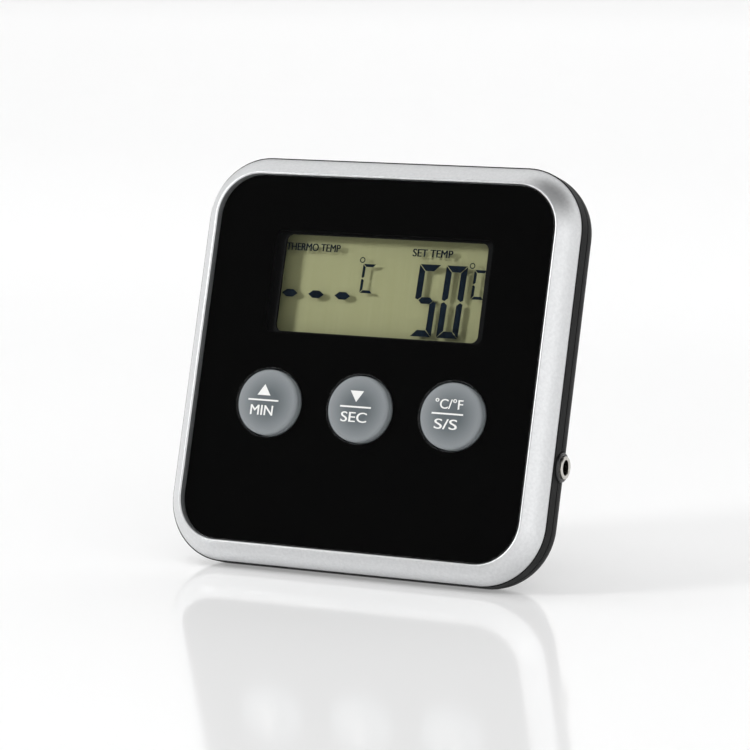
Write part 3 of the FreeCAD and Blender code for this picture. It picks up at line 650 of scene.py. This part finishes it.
def figure(name, sign, corner, size, stroke):
    """One display figure, all its dark sides as one piece."""
    bm = bmesh.new()
    for side in DIGITS[sign]:
        outline = [(corner[0] + x + DIGIT_SLANT * y, corner[1] + y)
                   for x, y in segment_outline(side, size, stroke)]
        raise_plate(bm, outline, INK_LOW, SEGMENT_INK)
    ink_on(name, bm, "root", "black_film")


def dash(name, centre):
    """Dash with pointed ends."""
    half, up = DASH_SIZE[0] / 2, DASH_SIZE[1] / 2
    tip = half * DASH_TIP
    corners = [(-half, 0), (-tip, -up), (tip, -up), (half, 0), (tip, up), (-tip, up)]
    corners = [(centre[0] + x, centre[1] + y) for x, y in corners]
    ink_on(name, plate(corners, INK_LOW, SEGMENT_INK), "root", "black_film")


def degree_sign(name, across):
    """Small ring before the letter."""
    outer, inner = DEGREE_RADII
    top = INK_LOW + SEGMENT_INK
    profile = [(inner, INK_LOW), (outer, INK_LOW), (outer, top), (inner, top)]
    ring = turned(profile, (across, DEGREE_UP), DEGREE_STEPS)
    ink_on(name, ring, "root", "black_film")


def caption(name, text, across, width):
    lettering(name, text, (across, CAPTION_UP), CAPTION_HEIGHT, INK_LOW - CAPTION_SINK, "root",
              "black_film", width, CAPTION_WEIGHT)


lens_panel()
for tag, upper, word, wide, shift in KEYS:
    centre, top = key(tag)
    key_legend(tag, (centre[0] + shift, centre[1]), top, upper, word, wide)

for index in range(3):
    dash("dash_" + str(index + 1), (DASH_FIRST + DASH_STEP * index, DASH_UP))
degree_sign("degree_measured", -4.83)
figure("unit_measured", "C", (-4.72, UNIT_FOOT), UNIT_SIZE, UNIT_STROKE)
figure("digit_tens", "5", (5.68, DIGIT_FOOT), DIGIT_SIZE, DIGIT_STROKE)
figure("digit_ones", "0", (10.62, DIGIT_FOOT), DIGIT_SIZE, DIGIT_STROKE)
degree_sign("degree_set", 15.7)
figure("unit_set", "C", (16.05, UNIT_FOOT), UNIT_SIZE, UNIT_STROKE)
caption("caption_measured", "THERMO TEMP", -14.5, 10.4)
caption("caption_set", "SET TEMP", 8.14, 7.5)


# ---- floor, backdrop, light, camera ----
def gloss_laminate():
    """White laminate with a gloss coat: bright, with a faint soft reflection."""
    material, tree = new_material("white gloss laminate")
    matt = add(tree, "ShaderNodeBsdfDiffuse", Color=linear("#ececec"))
    glow = add(tree, "ShaderNodeEmission", Color=linear("#ffffff"), Strength=FLOOR_GLOW)
    lit = add(tree, "ShaderNodeAddShader", {0: matt.outputs["BSDF"],
                                            1: glow.outputs["Emission"]})
    mirror = add(tree, "ShaderNodeBsdfGlossy", Color=linear("#ffffff"), Roughness=FLOOR_ROUGHNESS)
    both = add(tree, "ShaderNodeMixShader", {1: lit.outputs["Shader"], 2: mirror.outputs["BSDF"]},
               Fac=FLOOR_MIRROR)
    finish_material(tree, both.outputs["Shader"])
    return material


def backdrop():
    """White sweep: a floor that curves up behind the object."""
    bend_start = BACKDROP_BEHIND - BACKDROP_BEND
    bm = bmesh.new()
    ends = [bm.verts.new((-FLOOR_REACH * MM, y * MM, 0)) for y in (-FLOOR_REACH, bend_start)]
    bm.edges.new(ends)
    bend = bmesh.ops.spin(bm, geom=[ends[1]], cent=(0, bend_start * MM, BACKDROP_BEND * MM),
                          axis=(1, 0, 0), angle=pi / 2, steps=BEND_STEPS)
    wall = bmesh.ops.extrude_vert_indiv(bm, verts=verts_of(bend["geom_last"]))
    bmesh.ops.translate(bm, vec=(0, 0, BACKDROP_HEIGHT * MM), verts=wall["verts"])
    wide = bmesh.ops.extrude_edge_only(bm, edges=bm.edges[:])["geom"]
    bmesh.ops.translate(bm, vec=(2 * FLOOR_REACH * MM, 0, 0), verts=verts_of(wide))
    mesh = bpy.data.meshes.new("white sweep")
    bm.to_mesh(mesh)
    bm.free()
    mesh.shade_smooth()
    mesh.materials.append(gloss_laminate())
    floor = bpy.data.objects.new("white sweep", mesh)
    bpy.context.scene.collection.objects.link(floor)


def soft_light(name, place, size, power):
    """Rectangular softbox aimed at the object."""
    lamp = bpy.data.lights.new(name, "AREA")
    lamp.shape = "RECTANGLE"
    lamp.size, lamp.size_y = size
    lamp.energy = power
    holder = bpy.data.objects.new(name, lamp)
    holder.location = place
    aim = Vector(LIGHT_AIM) - Vector(place)
    holder.rotation_euler = aim.to_track_quat("-Z", "Y").to_euler()
    bpy.context.scene.collection.objects.link(holder)


def tent():
    """White tent all round, with black flags that darken what the panel and the bezel mirror."""
    world = bpy.data.worlds.new("white tent with black flags")
    world.use_nodes = True
    tree = world.node_tree
    background = tree.nodes["Background"]
    toward = add(tree, "ShaderNodeTexCoord").outputs["Generated"]
    light = None
    for direction, inner, outer, least in FLAGS:
        facing = add(tree, "ShaderNodeVectorMath", {0: toward}, operation="DOT_PRODUCT")
        facing.inputs[1].default_value = Vector(direction).normalized()
        shade = add(tree, "ShaderNodeMapRange", {"Value": facing.outputs["Value"]},
                    From_Min=cos(radians(outer)), From_Max=cos(radians(inner)),
                    To_Min=1.0, To_Max=least, interpolation_type="SMOOTHSTEP")
        if light:
            both = add(tree, "ShaderNodeMath", {0: light, 1: shade.outputs["Result"]},
                       operation="MULTIPLY")
            light = both.outputs["Value"]
        else:
            light = shade.outputs["Result"]
    tree.links.new(light, background.inputs["Color"])
    background.inputs["Strength"].default_value = TENT_LIGHT
    bpy.context.scene.world = world


def camera():
    lens = bpy.data.cameras.new("camera")
    lens.lens = CAMERA_LENS
    lens.sensor_width = CAMERA_SENSOR
    lens.clip_start = CAMERA_NEAR
    lens.clip_end = CAMERA_FAR
    holder = bpy.data.objects.new("camera", lens)
    holder.location = Vector(CAMERA_PLACE) * MM
    holder.rotation_euler = (radians(CAMERA_TILT), 0, radians(CAMERA_TURN))
    bpy.context.scene.collection.objects.link(holder)
    bpy.context.scene.camera = holder


backdrop()
tent()
for softbox in SOFTBOXES:
    soft_light(*softbox)
camera()
bpy.context.scene.view_settings.view_transform = "Standard"
bpy.context.scene.cycles.transparent_max_bounces = CLEAR_LAYERS
